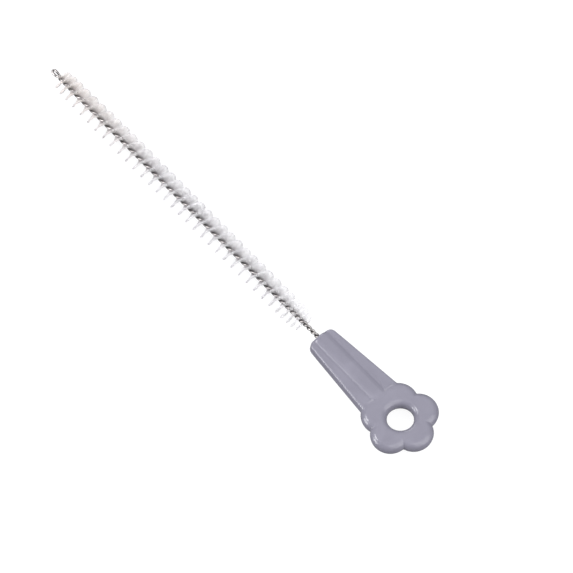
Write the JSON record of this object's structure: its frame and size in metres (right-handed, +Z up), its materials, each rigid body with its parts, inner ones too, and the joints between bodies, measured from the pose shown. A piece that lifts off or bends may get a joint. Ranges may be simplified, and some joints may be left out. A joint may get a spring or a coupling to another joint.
{
  "type": "bottle brush",
  "caption": "Slim twisted-wire bottle brush with nylon bristles and a flat moulded handle that ends in a flower with a hanging hole.",
  "frame": {"origin": "under the middle of the brush's length and width, level with its lowest bristle", "axes": "+X along the brush, from the fold of the wire to the flower; +Z up, square to the flower's flat face; +Y to the left of someone looking along +X"},
  "size_m": [0.2032, 0.0282, 0.0096],
  "materials": {
    "handle_plastic": "moulded, semi-gloss, lilac grey",
    "core_steel": "bright drawn stainless wire",
    "bristle_nylon": "clear white filament"
  },
  "bodies": {
    "root": {"handle": "handle_plastic", "core_wire": "core_steel", "bristle_turn_01": "bristle_nylon", "bristle_turn_02": "bristle_nylon", "bristle_turn_03": "bristle_nylon", "bristle_turn_04": "bristle_nylon", "bristle_turn_05": "bristle_nylon", "bristle_turn_06": "bristle_nylon", "bristle_turn_07": "bristle_nylon", "bristle_turn_08": "bristle_nylon", "bristle_turn_09": "bristle_nylon", "bristle_turn_10": "bristle_nylon", "bristle_turn_11": "bristle_nylon", "bristle_turn_12": "bristle_nylon", "bristle_turn_13": "bristle_nylon", "bristle_turn_14": "bristle_nylon", "bristle_turn_15": "bristle_nylon", "bristle_turn_16": "bristle_nylon", "bristle_turn_17": "bristle_nylon", "bristle_turn_18": "bristle_nylon"}
  },
  "joints": []
}
